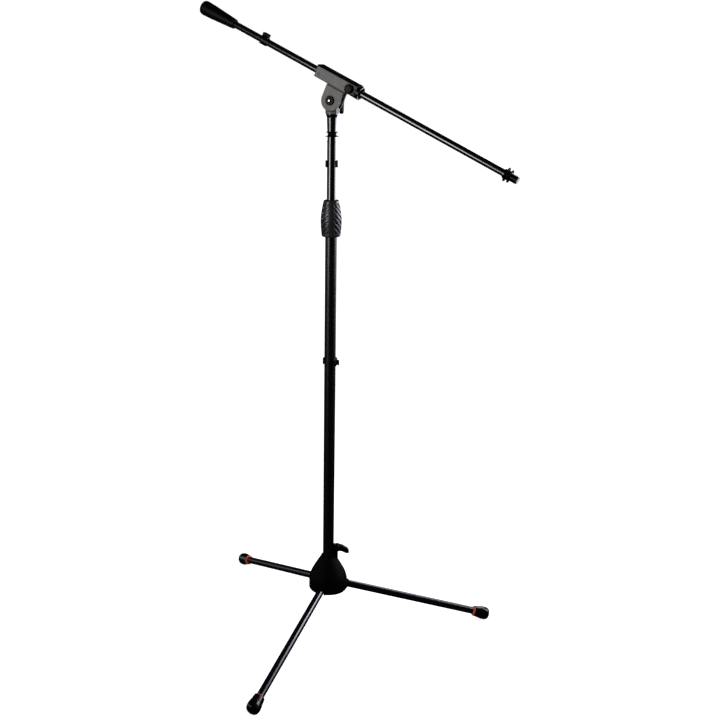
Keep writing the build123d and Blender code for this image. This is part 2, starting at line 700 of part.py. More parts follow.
SINGLE_PARTS = (
    lower_tube,
    leg_stop_plate,
    clutch_body,
    clutch_collet,
    clutch_nut,
    clutch_grip,
    upper_tube,
    mast_guide_bush,
    upper_tube_end_plug,
    top_stud,
    stud_lock_ring,
    swivel_socket,
    swivel_base,
    boom_bracket,
    boom_liner,
    boom_end_ring,
    sleeve_retainer,
    boom_sleeve,
    boom_lock_screw,
    boom_lock_knob,
    friction_washers,
    pivot_bolt,
    pivot_cap,
    handle_insert,
    tilt_handle,
    boom_tube,
    counterweight_core,
    counterweight_cover,
    boom_tip_stud,
    tip_lock_ring,
    lower_cable_clip,
    upper_cable_clip,
    boom_cable_clip,
    leg_housing,
    brake_pad,
    base_lever_screw,
    base_lever,
    leg_pins,
)
LEG_PARTS = (leg_knuckle, leg_tube, leg_foot, leg_ring)


def main():
    os.makedirs("parts", exist_ok=True)
    for make in SINGLE_PARTS:
        export_step(make(), f"parts/{make.__name__}.step")
    for side, azimuth in LEG_AZIMUTHS.items():
        for make in LEG_PARTS:
            export_step(make(azimuth), f"parts/{make.__name__}_{side}.step")


main()
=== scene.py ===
"""The looks of the boom microphone stand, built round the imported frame, in metres.

Every place comes from the frame: the joints give the axes and the CAD nodes give the
lengths and radii. Tubes and castings keep their CAD meshes and get a material here;
soft, ribbed, knurled and hooked pieces get a richer mesh of their own.
"""

import json
import math

import bmesh
import bpy
from mathutils import Matrix, Vector

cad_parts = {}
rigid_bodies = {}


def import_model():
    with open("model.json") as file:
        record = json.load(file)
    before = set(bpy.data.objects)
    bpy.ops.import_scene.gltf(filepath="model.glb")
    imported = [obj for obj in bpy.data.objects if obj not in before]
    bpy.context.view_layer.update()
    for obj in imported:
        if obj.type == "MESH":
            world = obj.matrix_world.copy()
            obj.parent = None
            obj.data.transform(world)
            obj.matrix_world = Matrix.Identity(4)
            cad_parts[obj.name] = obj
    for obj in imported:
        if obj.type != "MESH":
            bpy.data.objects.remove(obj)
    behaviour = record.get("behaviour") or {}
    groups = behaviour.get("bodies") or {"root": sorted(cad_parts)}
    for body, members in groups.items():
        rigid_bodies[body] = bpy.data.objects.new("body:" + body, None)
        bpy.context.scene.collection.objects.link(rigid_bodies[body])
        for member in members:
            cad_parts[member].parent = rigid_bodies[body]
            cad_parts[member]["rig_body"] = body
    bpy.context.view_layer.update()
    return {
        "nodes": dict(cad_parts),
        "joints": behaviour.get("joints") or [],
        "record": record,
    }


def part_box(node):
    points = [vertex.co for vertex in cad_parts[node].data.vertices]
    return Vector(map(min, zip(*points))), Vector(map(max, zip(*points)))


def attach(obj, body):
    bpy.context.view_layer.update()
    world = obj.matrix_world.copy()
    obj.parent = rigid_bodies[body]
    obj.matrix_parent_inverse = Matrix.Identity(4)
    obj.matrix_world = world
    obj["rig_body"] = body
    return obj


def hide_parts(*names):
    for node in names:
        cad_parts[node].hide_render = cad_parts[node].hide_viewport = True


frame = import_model()

NODES = frame["nodes"]
JOINTS = {joint["name"]: joint for joint in frame["joints"]}
MM = 0.001
SIDES = ("right", "left", "front")

# Camera, at the height and heading of the product view
CAMERA_PLACE = (1.0438, -1.8012, 1.2388)
CAMERA_HEADING = 32.0
CAMERA_PITCH = 15.44
CAMERA_LENS = 49.6
CAMERA_SHIFT = (0.0858, -0.0103)

# Radii that several pieces share
STUD_RADIUS = 7.94 * MM
LOWER_TUBE_RADIUS = 12.5 * MM
UPPER_TUBE_RADIUS = 9.9 * MM
BOOM_RADIUS = 7.0 * MM
RUNNING_GAP = 0.05 * MM


# ---------------------------------------------------------------- frames

def joint_frame(origin, z_axis, y_axis=(0, 1, 0)):
    """A frame at an origin with Z along one axis and Y as near as it can be to another."""
    z = Vector(z_axis).normalized()
    x = Vector(y_axis).cross(z).normalized()
    y = z.cross(x)
    basis = Matrix((x, y, z)).transposed().to_4x4()
    return Matrix.Translation(Vector(origin)) @ basis


def span(node, place):
    """Lowest and highest corner of a CAD node, measured in another frame."""
    inverse = place.inverted()
    points = [inverse @ vertex.co for vertex in NODES[node].data.vertices]
    low = Vector([min(point[i] for point in points) for i in range(3)])
    high = Vector([max(point[i] for point in points) for i in range(3)])
    return low, high


MAST = Matrix.Identity(4)
BOOM = joint_frame(JOINTS["boom_roll"]["pos_m"], JOINTS["boom_slide"]["axis"])
PIVOT = joint_frame(JOINTS["boom_tilt"]["pos_m"], (0, 0, 1))
LEVER_OUT = Vector(JOINTS["base_lever_turn"]["axis"])
LEVER = joint_frame(JOINTS["base_lever_turn"]["pos_m"], LEVER_OUT, LEVER_OUT.cross((0, 0, -1)))


def leg_frame(side):
    """A leg's frame: origin on its pin, Z out along the leg, Y along the pin."""
    joint = JOINTS["leg_fold_" + side]
    pin = Vector(joint["pos_m"])
    vertices = NODES["leg_ring_" + side].data.vertices
    centre = sum((vertex.co for vertex in vertices), Vector()) / len(vertices)
    return joint_frame(pin, centre - pin, joint["axis"])


# ---------------------------------------------------------------- meshes

def new_piece(name, mesh, place, smooth_angle=35.0):
    """Makes a mesh into a smooth-shaded object in the row frame."""
    mesh.transform(place)
    bmesh_mesh = bmesh.new()
    bmesh_mesh.from_mesh(mesh)
    bmesh.ops.recalc_face_normals(bmesh_mesh, faces=bmesh_mesh.faces)
    bmesh_mesh.to_mesh(mesh)
    bmesh_mesh.free()
    piece = bpy.data.objects.new(name, mesh)
    bpy.context.scene.collection.objects.link(piece)
    shade(piece, smooth_angle)
    return piece


def shade(piece, angle=35.0):
    """Smooth shading, with edges sharper than an angle left crisp."""
    mesh = piece.data
    mesh.polygons.foreach_set("use_smooth", [True] * len(mesh.polygons))
    mesh.set_sharp_from_angle(angle=math.radians(angle))


def rounded(points, radius, steps=5, closed=False):
    """An outline with each of its corners turned into an arc of at most a radius."""
    result = []
    count = len(points)
    for i, point in enumerate(points):
        here = Vector(point)
        if not closed and i in (0, count - 1):
            result.append(tuple(here))
            continue
        before = Vector(points[i - 1]) - here
        after = Vector(points[(i + 1) % count]) - here
        turn = before.angle(after)
        if turn > math.radians(172):
            result.append(tuple(here))
            continue
        reach = min(radius / math.tan(turn / 2), before.length * 0.49, after.length * 0.49)
        start = here + before.normalized() * reach
        end = here + after.normalized() * reach
        for k in range(steps + 1):
            t = k / steps
            result.append(tuple(start * (1 - t) ** 2 + here * 2 * t * (1 - t) + end * t * t))
    return result


def lathe(outline, segments=96, closed=False, wave=None):
    """A mesh turned on Z from (radius, height) points; wave(angle, radius, height) adds to the radius."""
    mesh = bmesh.new()
    rings = []
    for radius, height in outline:
        if radius < 1e-7:
            rings.append([mesh.verts.new((0, 0, height))])
            continue
        ring = []
        for k in range(segments):
            angle = 2 * math.pi * k / segments
            here = radius + (wave(angle, radius, height) if wave else 0)
            ring.append(mesh.verts.new((here * math.cos(angle), here * math.sin(angle), height)))
        rings.append(ring)
    pairs = list(zip(rings, rings[1:]))
    if closed:
        pairs.append((rings[-1], rings[0]))
    for low, high in pairs:
        for k in range(segments):
            corners = [low[k % len(low)], low[(k + 1) % len(low)]]
            corners += [high[(k + 1) % len(high)], high[k % len(high)]]
            corners = list(dict.fromkeys(corners))
            if len(corners) > 2:
                mesh.faces.new(corners)
    result = bpy.data.meshes.new("turned")
    mesh.to_mesh(result)
    mesh.free()
    return result


def loft(rings):
    """A closed mesh through rings of points, with a fan at each end."""
    mesh = bmesh.new()
    layers = [[mesh.verts.new(point) for point in ring] for ring in rings]
    count = len(rings[0])
    for low, high in zip(layers, layers[1:]):
        for k in range(count):
            after = (k + 1) % count
            mesh.faces.new((low[k], low[after], high[after], high[k]))
    for layer in (layers[0], layers[-1]):
        centre = mesh.verts.new(sum((vertex.co for vertex in layer), Vector()) / count)
        for k in range(count):
            mesh.faces.new((layer[k], layer[(k + 1) % count], centre))
    result = bpy.data.meshes.new("loft")
    mesh.to_mesh(result)
    mesh.free()
    return result


def oval(centre, across, up, half_across, half_up, power=2.6, count=40):
    """A ring of points round a centre, between an ellipse and a rounded rectangle."""
    ring = []
    for k in range(count):
        angle = 2 * math.pi * k / count
        c, s = math.cos(angle), math.sin(angle)
        x = math.copysign(abs(c) ** (2 / power), c) * half_across
        y = math.copysign(abs(s) ** (2 / power), s) * half_up
        ring.append(Vector(centre) + Vector(across) * x + Vector(up) * y)
    return ring


def merge(first, second, operation="UNION"):
    """Combines two meshes into one closed mesh."""
    scene = bpy.context.scene.collection
    pair = [bpy.data.objects.new("merge", mesh) for mesh in (first, second)]
    for thing in pair:
        scene.objects.link(thing)
    modifier = pair[0].modifiers.new("merge", "BOOLEAN")
    modifier.operation = operation
    modifier.solver = "EXACT"
    modifier.object = pair[1]
    bpy.context.view_layer.update()
    graph = bpy.context.evaluated_depsgraph_get()
    result = bpy.data.meshes.new_from_object(pair[0].evaluated_get(graph))
    for thing in pair:
        bpy.data.objects.remove(thing)
    return result


# ---------------------------------------------------------------- materials

class Surface:
    """A node-based material: base colour, roughness and bump are each built up in steps."""

    def __init__(self, name, colour, rough, metal=0.0, specular=0.5):
        self.material = bpy.data.materials.new(name)
        self.material.use_nodes = True
        self.tree = self.material.node_tree
        self.shader = self.tree.nodes["Principled BSDF"]
        self.place = self.tree.nodes.new("ShaderNodeTexCoord").outputs["Object"]
        self.colour = self.value_colour(colour)
        self.rough = self.value(rough)
        self.height = None
        self.shader.inputs["Metallic"].default_value = metal
        self.shader.inputs["Specular IOR Level"].default_value = specular

    def node(self, kind, **inputs):
        """A new node with some of its inputs set or linked."""
        made = self.tree.nodes.new(kind)
        for key, given in inputs.items():
            self.feed(made, key.replace("_", " "), given)
        return made

    def feed(self, made, key, given):
        """Links an output to an input, or sets the input to a plain value."""
        socket = made.inputs[int(key) if key.isdigit() else key]
        if hasattr(given, "is_output"):
            self.tree.links.new(given, socket)
        else:
            socket.default_value = given

    def value(self, number):
        """A number as a node's output."""
        made = self.tree.nodes.new("ShaderNodeValue")
        made.outputs[0].default_value = number
        return made.outputs[0]

    def value_colour(self, colour):
        """A colour as a node's output."""
        made = self.tree.nodes.new("ShaderNodeRGB")
        made.outputs[0].default_value = (*colour, 1.0)
        return made.outputs[0]

    def maths(self, operation, *values):
        """One step of arithmetic on outputs or numbers."""
        made = self.tree.nodes.new("ShaderNodeMath")
        made.operation = operation
        for i, given in enumerate(values):
            self.feed(made, str(i), given)
        return made.outputs[0]

    def ramp(self, fac, low, high):
        """Maps a value from low..high to 0..1, clamped."""
        made = self.tree.nodes.new("ShaderNodeMapRange")
        for key, given in (("Value", fac), ("From Min", low), ("From Max", high)):
            self.feed(made, key, given)
        return made.outputs["Result"]

    def noise(self, scale, detail=3.0, stretch=(1, 1, 1), along=None):
        """Noise at a number of cells per metre, stretched along the axes of a frame."""
        mapping = self.tree.nodes.new("ShaderNodeMapping")
        mapping.vector_type = "TEXTURE"
        mapping.inputs["Scale"].default_value = stretch
        if along is not None:
            mapping.inputs["Rotation"].default_value = along.to_euler()
        self.tree.links.new(self.place, mapping.inputs["Vector"])
        made = self.node("ShaderNodeTexNoise", Scale=scale, Detail=detail, Roughness=0.6)
        self.tree.links.new(mapping.outputs[0], made.inputs["Vector"])
        return made.outputs["Fac"]

    def cells(self, scale):
        """Distance to the nearest cell centre, for a stippled or sand-cast grain."""
        made = self.node("ShaderNodeTexVoronoi", Scale=scale)
        self.tree.links.new(self.place, made.inputs["Vector"])
        return made.outputs["Distance"]

    def edges(self, radius):
        """Near 1 on sharp edges within a radius, and 0 on flat or gently curved faces."""
        bevel = self.tree.nodes.new("ShaderNodeBevel")
        bevel.samples = 4
        bevel.inputs["Radius"].default_value = radius
        geometry = self.tree.nodes.new("ShaderNodeNewGeometry")
        made = self.tree.nodes.new("ShaderNodeVectorMath")
        made.operation = "DOT_PRODUCT"
        self.tree.links.new(bevel.outputs[0], made.inputs[0])
        self.tree.links.new(geometry.outputs["Normal"], made.inputs[1])
        return self.ramp(made.outputs["Value"], 0.995, 0.80)

    def crevices(self, distance):
        """Near 1 in grooves and inner corners narrower than a distance, for painting shade into them."""
        made = self.node("ShaderNodeAmbientOcclusion", Distance=distance)
        made.samples = 8
        return self.ramp(made.outputs["AO"], 0.92, 0.55)

    def upward(self):
        """Near 1 on faces that look up."""
        geometry = self.tree.nodes.new("ShaderNodeNewGeometry")
        split = self.tree.nodes.new("ShaderNodeSeparateXYZ")
        self.tree.links.new(geometry.outputs["Normal"], split.inputs[0])
        return self.ramp(split.outputs["Z"], 0.2, 1.0)

    def tint(self, mask, colour, amount=1.0):
        """Mixes a colour in where a mask is high."""
        mix = self.tree.nodes.new("ShaderNodeMix")
        mix.data_type = "RGBA"
        self.tree.links.new(self.maths("MULTIPLY", mask, amount), mix.inputs[0])
        self.tree.links.new(self.colour, mix.inputs[6])
        mix.inputs[7].default_value = (*colour, 1.0)
        self.colour = mix.outputs[2]

    def roughen(self, mask, amount):
        """Adds to the roughness in proportion to a mask centred on a half."""
        shift = self.maths("MULTIPLY", self.maths("SUBTRACT", mask, 0.5), amount)
        self.rough = self.maths("ADD", self.rough, shift)

    def emboss(self, pattern, depth):
        """Adds a pattern of a depth in metres to the bump height."""
        step = self.maths("MULTIPLY", pattern, depth)
        self.height = step if self.height is None else self.maths("ADD", self.height, step)

    def coat(self, amount, rough):
        """A clear coat over the paint."""
        self.shader.inputs["Coat Weight"].default_value = amount
        self.shader.inputs["Coat Roughness"].default_value = rough

    def done(self, soft_edge=0.0):
        """Links everything up; edges narrower than soft_edge are shaded as if rounded."""
        self.tree.links.new(self.colour, self.shader.inputs["Base Color"])
        self.tree.links.new(self.rough, self.shader.inputs["Roughness"])
        if self.height is not None:
            bump = self.tree.nodes.new("ShaderNodeBump")
            bump.inputs["Strength"].default_value = 1.0
            bump.inputs["Distance"].default_value = 1.0
            self.tree.links.new(self.height, bump.inputs["Height"])
            if soft_edge:
                bevel = self.tree.nodes.new("ShaderNodeBevel")
                bevel.samples = 4
                bevel.inputs["Radius"].default_value = soft_edge
                self.tree.links.new(bevel.outputs[0], bump.inputs["Normal"])
            self.tree.links.new(bump.outputs[0], self.shader.inputs["Normal"])
        return self.material


def powder_coat(name, colour, rough, grain, specular, soft_edge=0.35 * MM):
    """Baked paint: a fine orange-peel skin and faint mottling, with rubbed edges unless soft_edge is 0."""
    paint = Surface(name, colour, rough, specular=specular)
    paint.tint(paint.noise(35, 4), [c * 1.6 + 0.001 for c in colour], 0.5)
    paint.roughen(paint.noise(60, 4), 0.06)
    paint.emboss(paint.noise(1500, 2), grain)
    if soft_edge:
        paint.tint(paint.edges(0.4 * MM), [c * 2 + 0.02 for c in colour], 0.3)
    return paint.done(soft_edge)


def gloss_tube(name, colour, rough, tube_frame):
    """Gloss enamel on drawn tube, with light scratches along the tube and a clear coat."""
    paint = Surface(name, colour, rough)
    paint.coat(0.9, 0.10)
    paint.roughen(paint.noise(25, 3), 0.06)
    scratches = paint.ramp(paint.noise(220, 4, (0.3, 0.3, 9), tube_frame), 0.66, 0.74)
    paint.tint(scratches, [c + 0.004 for c in colour], 0.3)
    return paint.done()


def cast_paint(name, colour, rough):
    """Painted die casting: sandy grain, cloudy tone, painted shade in its crevices and brighter worn edges."""
    cast = Surface(name, colour, rough, metal=0.1, specular=0.4)
    cast.tint(cast.noise(45, 5), [c * 0.80 for c in colour], 0.6)
    cast.tint(cast.ramp(cast.cells(1400), 0.25, 0.0), [c * 1.25 for c in colour], 0.5)
    cast.roughen(cast.noise(90, 4), 0.16)
    cast.emboss(cast.cells(1100), 2.0e-5)
    cast.emboss(cast.noise(260, 3), 2.5e-5)
    cast.tint(cast.edges(0.8 * MM), [min(1, c * 1.9 + 0.05) for c in colour], 0.7)
    # Painted shade: grooves and inner corners darkened nearly to black through ambient occlusion.
    cast.tint(cast.crevices(7 * MM), (0.002, 0.002, 0.002), 0.97)
    return cast.done(0.9 * MM)


def moulded(name, colour, rough, grain=1.4e-5, specular=0.5):
    """Injection-moulded plastic with a fine spark-eroded grain."""
    plastic = Surface(name, colour, rough, specular=specular)
    plastic.tint(plastic.noise(50, 3), [c * 1.4 + 0.001 for c in colour], 0.4)
    plastic.roughen(plastic.noise(120, 3), 0.10)
    plastic.emboss(plastic.cells(1800), grain)
    plastic.tint(plastic.edges(0.4 * MM), [c * 2 + 0.012 for c in colour], 0.35)
    return plastic.done(0.3 * MM)


def rubber(name, colour, rough):
    """Soft black rubber: stippled, slightly dusty where it looks up, greyer on its edges."""
    soft = Surface(name, colour, rough, specular=0.12)
    soft.tint(soft.noise(70, 5), [c * 1.5 + 0.001 for c in colour], 0.6)
    soft.tint(soft.maths("MULTIPLY", soft.upward(), soft.noise(240, 5)), (0.006, 0.006, 0.007), 0.3)
    soft.tint(soft.edges(0.6 * MM), (0.012, 0.012, 0.013), 0.4)
    soft.roughen(soft.noise(150, 4), 0.12)
    soft.emboss(soft.cells(1300), 2.0e-5)
    soft.emboss(soft.noise(500, 3), 1.5e-5)
    return soft.done()


def ribbed_rubber(name, colour, rough):
    """Hard grip rubber: greyer where hands polish it, with painted shade darkening its grooves."""
    grip = Surface(name, colour, rough, specular=0.6)
    grip.tint(grip.noise(80, 4), [c * 0.75 for c in colour], 0.5)
    grip.roughen(grip.noise(140, 3), 0.08)
    # Painted shade: the grooves between the ribs darkened nearly to black through ambient occlusion.
    grip.tint(grip.crevices(4 * MM), (0.001, 0.001, 0.001), 0.95)
    grip.emboss(grip.cells(1500), 6e-6)
    return grip.done()


def metal(name, colour, rough):
    """Turned or plated metal with fine tool marks and a little tarnish."""
    steel = Surface(name, colour, rough, metal=1.0)
    steel.tint(steel.noise(120, 5), [c * 0.7 for c in colour], 0.5)
    steel.roughen(steel.noise(900, 3), 0.18)
    steel.emboss(steel.noise(1200, 2), 6e-6)
    return steel.done(0.2 * MM)


def pressed_fibre(name, colour):
    """Pressed friction fibre, matte and flecked."""
    fibre = Surface(name, colour, 0.8)
    fibre.tint(fibre.noise(900, 5), [c * 0.5 for c in colour], 0.6)
    fibre.emboss(fibre.noise(1600, 4), 4e-5)
    return fibre.done()


TUBE_PAINT = powder_coat("tube_paint", (0.0008, 0.0008, 0.0012), 0.30, 3e-6, 0.55, 0)
LEG_PAINT = powder_coat("leg_paint", (0.0020, 0.0020, 0.0040), 0.18, 5e-7, 0.6, 0)
MAST_PAINT = gloss_tube("mast_paint", (0.0008, 0.0010, 0.0010), 0.26, MAST)
BOOM_PAINT = gloss_tube("boom_paint", (0.0004, 0.0018, 0.0016), 0.28, BOOM)
CAST_GREY = cast_paint("cast_grey", (0.150, 0.141, 0.134), 0.50)
CAST_BLACK = powder_coat("cast_black", (0.0004, 0.0004, 0.0010), 0.60, 2.0e-5, 0.06)
BLACK_PLASTIC = moulded("black_plastic", (0.0008, 0.0008, 0.0012), 0.45, specular=0.12)
NYLON = moulded("nylon_black", (0.0006, 0.0016, 0.0013), 0.34, 5e-6, specular=0.2)
RUBBER = rubber("rubber_black", (0.0008, 0.0008, 0.0014), 0.48)
GRIP_RUBBER = ribbed_rubber("rubber_grip", (0.020, 0.018, 0.021), 0.32)
BOOT_RUBBER = moulded("rubber_boot", (0.0008, 0.0008, 0.0016), 0.20, 4e-6)
TRIM = moulded("trim_orange", (0.76, 0.090, 0.045), 0.40, 1e-5)
STEEL = metal("steel", (0.72, 0.72, 0.74), 0.22)
IRON = metal("iron", (0.12, 0.12, 0.12), 0.6)
BRASS = metal("brass", (0.78, 0.56, 0.25), 0.3)
FIBRE = pressed_fibre("fibre", (0.30, 0.21, 0.12))

SLOT_MATERIALS = {
    "tube_paint": TUBE_PAINT,
    "leg_paint": LEG_PAINT,
    "boom_paint": BOOM_PAINT,
    "cast_grey": CAST_GREY,
    "cast_black": CAST_BLACK,
    "black_plastic": BLACK_PLASTIC,
    "nylon_black": NYLON,
    "rubber_black": RUBBER,
    "trim_orange": TRIM,
    "steel": STEEL,
    "iron": IRON,
    "brass": BRASS,
    "fibre": FIBRE,
}
NODE_MATERIALS = {
    "upper_tube": MAST_PAINT,
    "top_stud": MAST_PAINT,
    "swivel_socket": MAST_PAINT,
    "stud_lock_ring": CAST_BLACK,
    "clutch_grip": GRIP_RUBBER,
}
for side in SIDES:
    NODE_MATERIALS["leg_foot_" + side] = BOOT_RUBBER
SLOTS = {part["node"]: part["material_slot"] for part in frame["record"]["subparts"]}


def node_material(node):
    """A node's own material if it has one, or else that of its slot."""
    return NODE_MATERIALS.get(node, SLOT_MATERIALS[SLOTS[node]])


def paint_cad_nodes():
    """Gives each CAD node the material of its slot, and smooth shading."""
    for name, node in NODES.items():
        node.data.materials.clear()
        node.data.materials.append(node_material(name))
        shade(node, 32)


def finish_piece(piece, node):
    """Puts a new piece in the place of a CAD node, on its body and with its finish."""
    piece.data.materials.clear()
    piece.data.materials.append(node_material(node))
    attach(piece, NODES[node]["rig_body"])
    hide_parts(node)
    return piece


# ---------------------------------------------------------------- pieces

def thread_mesh(outer, inner, pitch, low, high, chamfer_length):
    """A bar with a true helical thread between two heights, closed at both ends."""
    steps = int((high - low) / pitch * 10)
    outline = [(0, low)]
    for k in range(steps + 1):
        outline.append((outer, low + (high - low) * k / steps))
    outline.append((0, high))

    def groove(angle, radius, height):
        phase = (height / pitch - angle / (2 * math.pi)) % 1.0
        depth = abs(phase * 2 - 1)
        taper = max(0.0, (height - (high - chamfer_length)) / chamfer_length)
        return -max((outer - inner) * min(1.0, depth * 1.25), taper * chamfer_length)

    return lathe(outline, 96, wave=groove)


def knurled(teeth, depth, above):
    """A wave that cuts fine teeth in every rim wider than a radius."""
    def wave(angle, radius, height):
        if radius < above:
            return 0.0
        return -depth * (0.5 - 0.5 * math.cos(teeth * angle)) ** 0.7
    return wave


def spool_mesh(low, high, bore, wide, neck, narrow, flange):
    """A finger lock ring: two thin knurled flanges and a turned neck between them."""
    rim = flange * 0.5
    slope = (flange - rim) / 2
    outline = [
        (bore, low),
        (neck, low),
        (wide, low + slope),
        (wide, low + slope + rim),
        (neck, low + flange),
        (neck, high - flange),
        (narrow, high - slope - rim),
        (narrow, high - slope),
        (neck, high),
        (bore, high),
    ]
    outline = rounded(outline, 0.45 * MM, 3, closed=True)
    return lathe(outline, 288, closed=True, wave=knurled(36, 0.6 * MM, neck + 2.0 * MM))


def node_radius(node, place):
    """Largest radius of a CAD node about the Z axis of a frame."""
    inverse = place.inverted()
    points = [inverse @ vertex.co for vertex in NODES[node].data.vertices]
    return max(math.hypot(point.x, point.y) for point in points)


def lock_ring(name, node, place):
    """A knurled finger lock ring as long and as wide as its CAD node."""
    low, high = span(node, place)
    wide = node_radius(node, place)
    bore = STUD_RADIUS + 0.06 * MM
    neck = wide * 0.646
    narrow = wide * 0.917
    mesh = spool_mesh(low.z, high.z, bore, wide, neck, narrow, 2.4 * MM)
    return finish_piece(new_piece(name, mesh, place), node)


def grip_wave(bottom, top, rib_depth):
    """Diagonal ribs that fall away on both sides of two opposite smooth bands."""
    rib_pitch = 11.4 * MM
    rib_slope = 0.95
    band = 5.6 * MM
    band_edge = 1.6 * MM
    end_margin = 6.5 * MM
    end_edge = 1.5 * MM
    mean_radius = 20 * MM
    front = math.radians(CAMERA_HEADING - 90)

    def wave(angle, radius, height):
        turn = (angle - front + math.pi / 2) % math.pi - math.pi / 2
        away = abs(turn) * mean_radius
        side = (math.pi / 2 - abs(turn)) * mean_radius
        phase = ((height + away * rib_slope) / rib_pitch) % 1.0
        bar = 0.5 - 0.5 * math.cos(2 * math.pi * phase)
        bar = min(1.0, max(0.0, (bar - 0.15) / 0.4))
        bar = bar * bar * (3 - 2 * bar)
        fade = 1.0
        for distance, margin in ((away - band, band_edge), (side - band, band_edge),
                                 (height - bottom - end_margin, end_edge),
                                 (top - end_margin - height, end_edge)):
            fade *= min(1.0, max(0.0, distance / margin))
        return -rib_depth * (1 - bar) * fade
    return wave


def clutch_grip():
    """Ribbed rubber sleeve of the twist clutch."""
    low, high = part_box("clutch_grip")
    bottom, top = low.z, high.z
    widest = high.x
    waist = bottom + (top - bottom) * 0.44
    top_radius = 16.0 * MM
    edge = 2.6 * MM
    bore_low = 15.8 * MM
    bore_high = 11.9 * MM
    lip_height = 3 * MM
    profile = []
    steps = 150
    for k in range(steps + 1):
        t = k / steps
        height = bottom + (top - bottom) * t
        if height < waist:
            s = (height - bottom) / (waist - bottom)
            radius = widest * (0.885 + 0.115 * math.sin(s * math.pi / 2))
        else:
            s = (height - waist) / (top - waist)
            radius = widest - (widest - top_radius) * (1 - math.cos(s * math.pi / 2)) ** 0.92
        lip = min(height - bottom, top - height)
        if lip < edge:
            radius -= edge * (1 - math.sqrt(max(0.0, 1 - (1 - lip / edge) ** 2)))
        profile.append((radius, height))
    profile += [(bore_high, top), (bore_high, top - lip_height)]
    profile += [(bore_low, bottom + lip_height), (bore_low, bottom)]
    ribs = grip_wave(bottom, top, 1.9 * MM)

    def wave(angle, radius, height):
        outside = radius > bore_low + 1 * MM or height > waist + 30 * MM
        return ribs(angle, radius, height) if outside else 0.0

    mesh = lathe(profile, 320, closed=True, wave=wave)
    return finish_piece(new_piece("clutch_grip_ribbed", mesh, MAST, 60), "clutch_grip")


def foot(side):
    """Rubber boot with a rolled mouth and a domed, floor-flattened end."""
    node = "leg_foot_" + side
    place = leg_frame(side)
    low, high = span(node, place)
    start, end = low.z, high.z
    tube = span("leg_tube_" + side, place)[1].y
    mouth = span("leg_ring_" + side, place)[1].y - 0.2 * MM
    full = high.y
    outline = [
        (tube, start),
        (mouth, start),
        (mouth + 0.5 * MM, start + 3 * MM),
        (mouth + (full - mouth) * 0.45, start + (end - start) * 0.32),
        (full - 0.4 * MM, end - 19 * MM),
        (full, end - 12 * MM),
        (full - 0.8 * MM, end - 5 * MM),
        (full - 3.6 * MM, end - 1.2 * MM),
        (full - 7.5 * MM, end),
        (0, end),
    ]
    outline = rounded(outline, 6 * MM, 6)
    inner = span("leg_tube_" + side, place)[1].z
    outline = [(0, inner), (tube, inner)] + outline
    mesh = lathe(outline, 96)
    piece = new_piece("foot_" + side, mesh, place, 50)
    for vertex in piece.data.vertices:
        vertex.co.z = max(vertex.co.z, 0.0)
    return finish_piece(piece, node)


def trim_ring(side):
    """Bright trim cone with softened edges and a fine groove, at the mouth of a boot."""
    node = "leg_ring_" + side
    place = leg_frame(side)
    low, high = span(node, place)
    tube = span("leg_tube_" + side, place)[1].y + 0.02 * MM
    outer = high.y
    lip = 0.6 * MM
    half = (low.z + high.z) / 2
    slope = (outer - tube) / 2
    outline = [
        (tube, low.z),
        (tube + lip, low.z),
        (tube + slope, half - 0.3 * MM),
        (tube + slope, half + 0.1 * MM),
        (outer, high.z - lip),
        (outer, high.z),
        (tube, high.z),
    ]
    mesh = lathe(rounded(outline, 0.35 * MM, 3, closed=True), 96, closed=True)
    return finish_piece(new_piece("trim_ring_" + side, mesh, place), node)


def counterweight():
    """Rubber counterweight cover, a long cone with a domed end."""
    node = "counterweight_cover"
    low, high = span(node, BOOM)
    back, front = low.z, high.z
    full = high.y - 0.25 * MM
    tube = span("boom_tube", BOOM)[1].y
    neck = full * 0.62
    outline = [
        (0, back),
        (full - 5.5 * MM, back),
        (full - 0.8 * MM, back + 1.6 * MM),
        (full, back + 8 * MM),
        (full - 0.7 * MM, back + 28 * MM),
        (neck + 0.9 * MM, front - 3.5 * MM),
        (neck, front),
        (tube + 0.02 * MM, front),
        (tube + 0.02 * MM, back + 8.5 * MM),
        (0, back + 8.5 * MM),
    ]
    outline = rounded(outline, 4 * MM, 8)
    mesh = lathe(outline, 128)
    return finish_piece(new_piece("counterweight_rubber", mesh, BOOM, 50), node)


def boom_tip():
    """Threaded microphone stud."""
    node = "boom_tip_stud"
    low, high = span(node, BOOM)
    ring_start = span("tip_lock_ring", BOOM)[0].z
    root_radius = STUD_RADIUS - 0.62 * MM
    pitch = 0.94 * MM
    bar = thread_mesh(STUD_RADIUS, root_radius, pitch, ring_start - 0.3 * MM, high.z, 1.0 * MM)
    shoulder_end = ring_start - 0.2 * MM
    tube_end = span("boom_tube", BOOM)[1].z
    plug_radius = 5.55 * MM
    shoulder_radius = 9.2 * MM
    shoulder = [
        (0, low.z),
        (plug_radius, low.z),
        (plug_radius, tube_end),
        (shoulder_radius, tube_end),
        (shoulder_radius, shoulder_end),
        (0, shoulder_end),
    ]
    body = lathe(rounded(shoulder, 0.4 * MM, 3), 96)
    piece = new_piece("boom_tip_thread", merge(body, bar), BOOM, 40)
    return finish_piece(piece, node)


